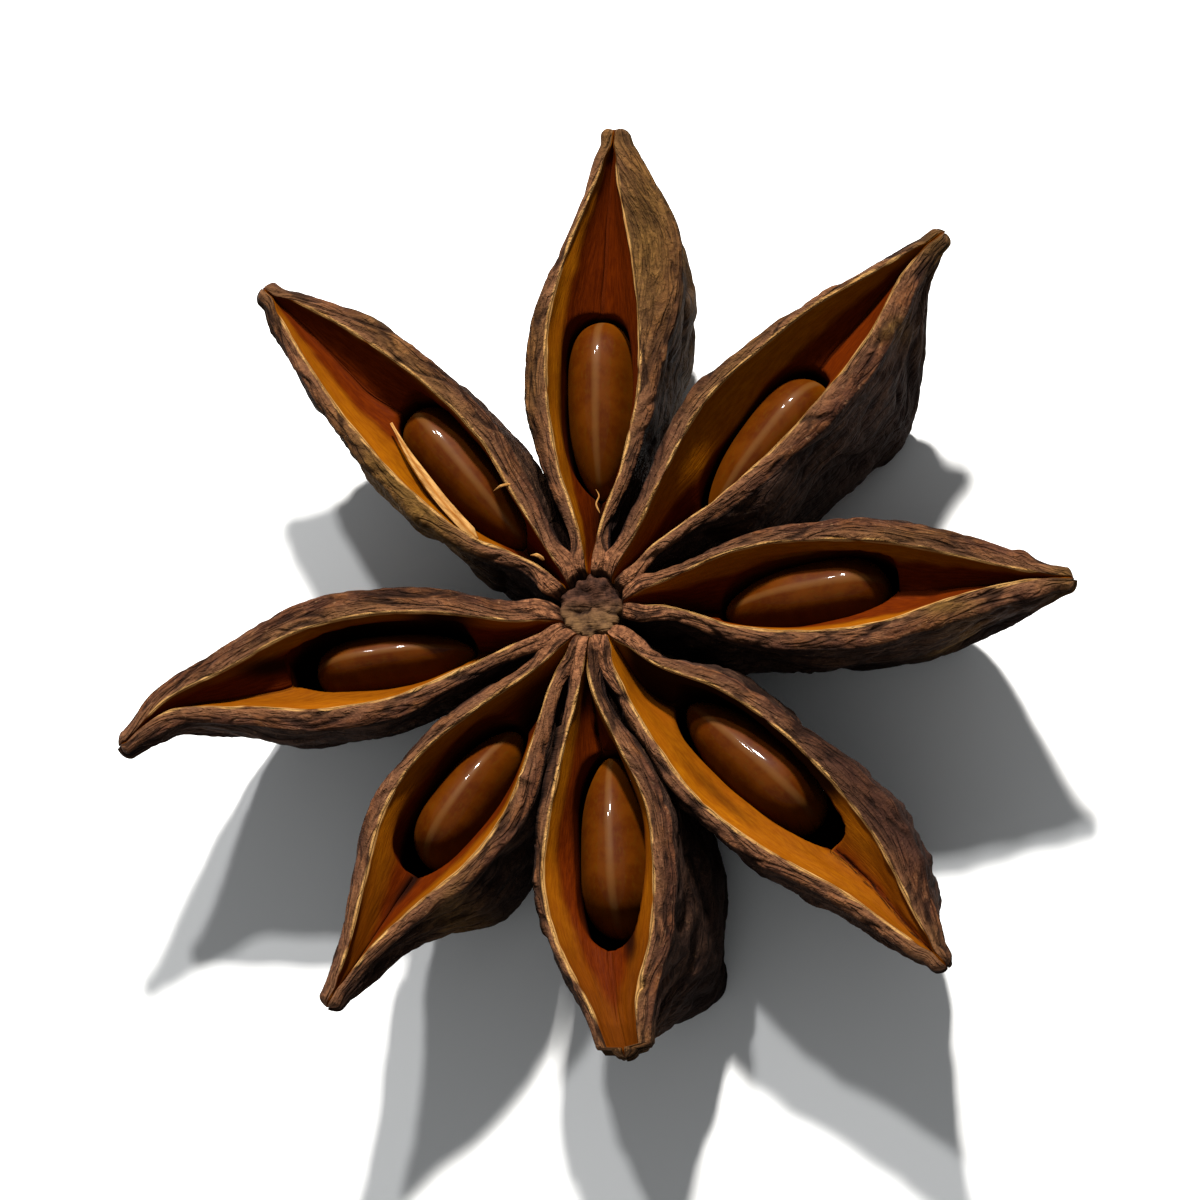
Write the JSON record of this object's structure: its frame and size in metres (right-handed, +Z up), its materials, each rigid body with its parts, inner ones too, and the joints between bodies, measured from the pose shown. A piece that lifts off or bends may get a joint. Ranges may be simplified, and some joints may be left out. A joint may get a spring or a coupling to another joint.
{
  "type": "star anise pod",
  "caption": "Dried star-shaped spice pod with split boat-shaped carpels round a central column, each holding a glossy seed, lying open side up.",
  "frame": {"origin": "on the table under the middle of the pod's outline", "axes": "+Z up out of the open side of the pod, +Y along the carpel whose tip reaches furthest up the star, +X to its right"},
  "size_m": [0.04, 0.0406, 0.009],
  "materials": {
    "husk": "rough dry woody husk, mauve-brown and wrinkled outside, smooth glossy amber to dark red-brown inside the carpels",
    "seed": "hard smooth seed coat, glossy amber-brown"
  },
  "bodies": {
    "root": {"pod": "husk", "seed_1": "seed", "seed_2": "seed", "seed_3": "seed", "seed_4": "seed", "seed_5": "seed", "seed_6": "seed", "seed_7": "seed", "seed_8": "seed"}
  },
  "joints": []
}
